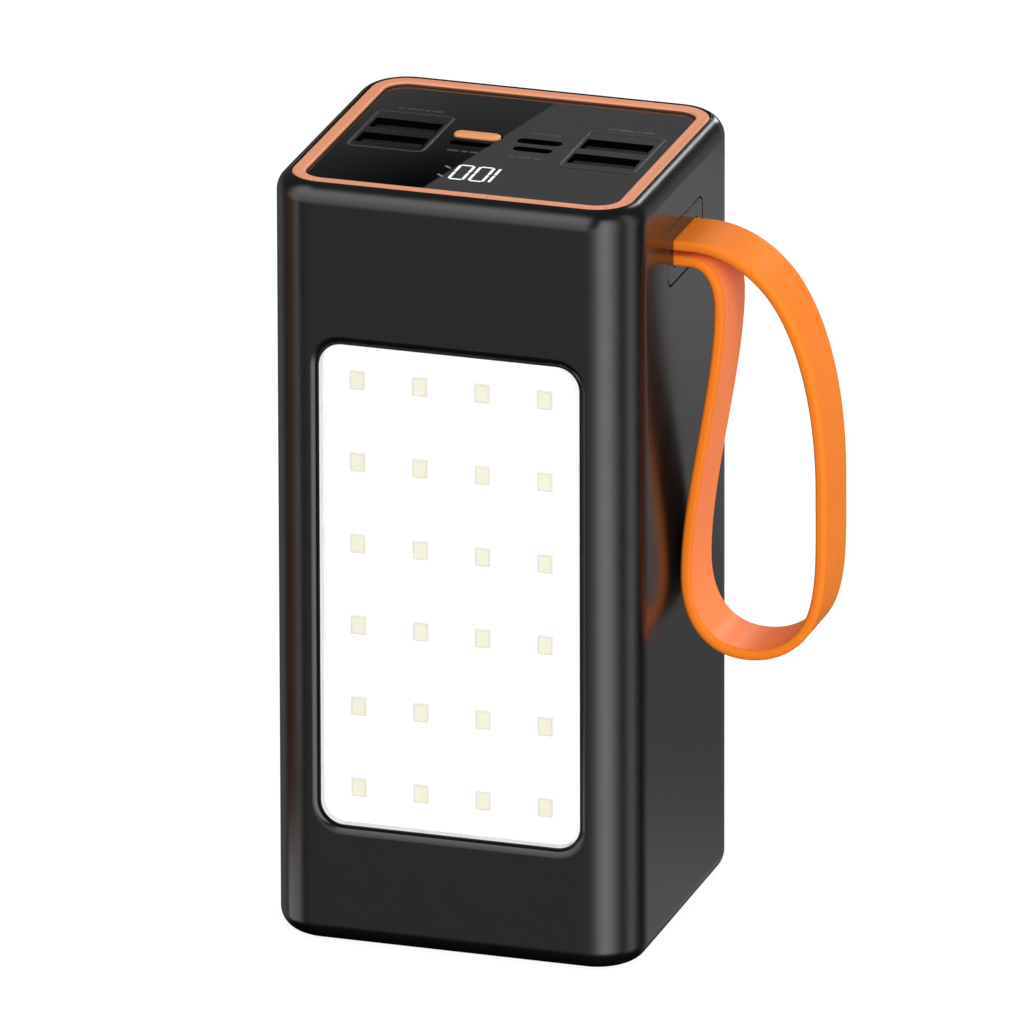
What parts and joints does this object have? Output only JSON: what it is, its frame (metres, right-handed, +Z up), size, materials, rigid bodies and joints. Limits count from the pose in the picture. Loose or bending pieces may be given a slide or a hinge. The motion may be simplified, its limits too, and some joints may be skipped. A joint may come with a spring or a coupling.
{
  "type": "power bank",
  "caption": "Tall rounded battery pack with an LED lamp panel on its front, a glossy port panel on top and a silicone hand strap.",
  "frame": {"origin": "middle of the flat underside", "axes": "+Z up towards the port panel, -Y out of the lamp panel at the front, +X towards the side with the strap"},
  "size_m": [0.0973, 0.064, 0.1447],
  "materials": {
    "shell_plastic": "glossy",
    "cover_plastic": "fine matt",
    "orange_plastic": "satin",
    "panel_plastic": "mirror gloss",
    "screw_steel": "zinc plated",
    "socket_plastic": "matt",
    "board_laminate": "solder mask",
    "chip_resin": "matt",
    "ferrite": "matt",
    "can_aluminium": "drawn can",
    "socket_metal": "blackened",
    "contact_gold": "plated",
    "display_light": "lit",
    "display_dim": "dimly lit",
    "lens_plastic": "clear",
    "gasket_rubber": "matt",
    "lamp_laminate": "white solder mask",
    "led_case": "glossy",
    "led_phosphor": "gel",
    "pouch_foil": "satin foil",
    "nickel": "rolled strip",
    "foam": "open cell",
    "wire_red": "satin",
    "wire_black": "satin",
    "wire_white": "satin",
    "strap_silicone": "soft satin"
  },
  "bodies": {
    "housing": {"main_shell": "shell_plastic", "top_cover": "cover_plastic", "top_frame": "orange_plastic", "fascia_panel": "panel_plastic", "cover_screws": "screw_steel", "switch_body": "cover_plastic", "main_board": "board_laminate", "board_screws": "screw_steel", "controller_chips": "chip_resin", "inductors": "ferrite", "capacitors": "can_aluminium", "usb_a_shell_1": "socket_metal", "usb_a_shell_2": "socket_metal", "usb_a_shell_3": "socket_metal", "usb_a_shell_4": "socket_metal", "usb_a_tongue_1": "socket_plastic", "usb_a_tongue_2": "socket_plastic", "usb_a_tongue_3": "socket_plastic", "usb_a_tongue_4": "socket_plastic", "usb_a_contacts_1": "contact_gold", "usb_a_contacts_2": "contact_gold", "usb_a_contacts_3": "contact_gold", "usb_a_contacts_4": "contact_gold", "usb_c_shell": "socket_metal", "usb_c_tongue": "socket_plastic", "micro_usb_shell": "socket_metal", "micro_usb_tongue": "socket_plastic", "inlet_shell": "socket_metal", "inlet_tongue": "socket_plastic", "display_module": "socket_plastic", "display_segments": "display_light", "display_marks": "display_dim", "lamp_lens": "lens_plastic", "lens_gasket": "gasket_rubber", "lamp_board": "lamp_laminate", "lamp_leds": "led_case", "led_phosphors": "led_phosphor", "battery_cell_1": "pouch_foil", "battery_cell_2": "pouch_foil", "battery_cell_3": "pouch_foil", "battery_cell_4": "pouch_foil", "battery_cell_5": "pouch_foil", "cell_tabs": "nickel", "bus_bars": "nickel", "protection_board": "board_laminate", "protection_chips": "chip_resin", "foam_pads": "foam", "battery_lead_positive": "wire_red", "battery_lead_negative": "wire_black", "lamp_leads": "wire_white", "strap_plate": "cover_plastic", "strap_anchor": "strap_silicone"},
    "button": {"power_button": "orange_plastic", "switch_plunger": "socket_plastic"},
    "strap": {"strap_loop": "strap_silicone"}
  },
  "joints": [
    {"name": "button_press", "type": "slide", "parent": "housing", "child": "button", "axis": [0, 0, -1], "range_m": [0, 0.0004], "stiffness_N_per_m": 600, "springref_m": -0.0005},
    {"name": "strap_swing", "type": "hinge", "parent": "housing", "child": "strap", "pos_m": [0.0372, 0, 0.1295], "axis": [0, -1, 0], "range_deg": [0, 85], "stiffness_Nm_per_rad": 0.01}
  ]
}
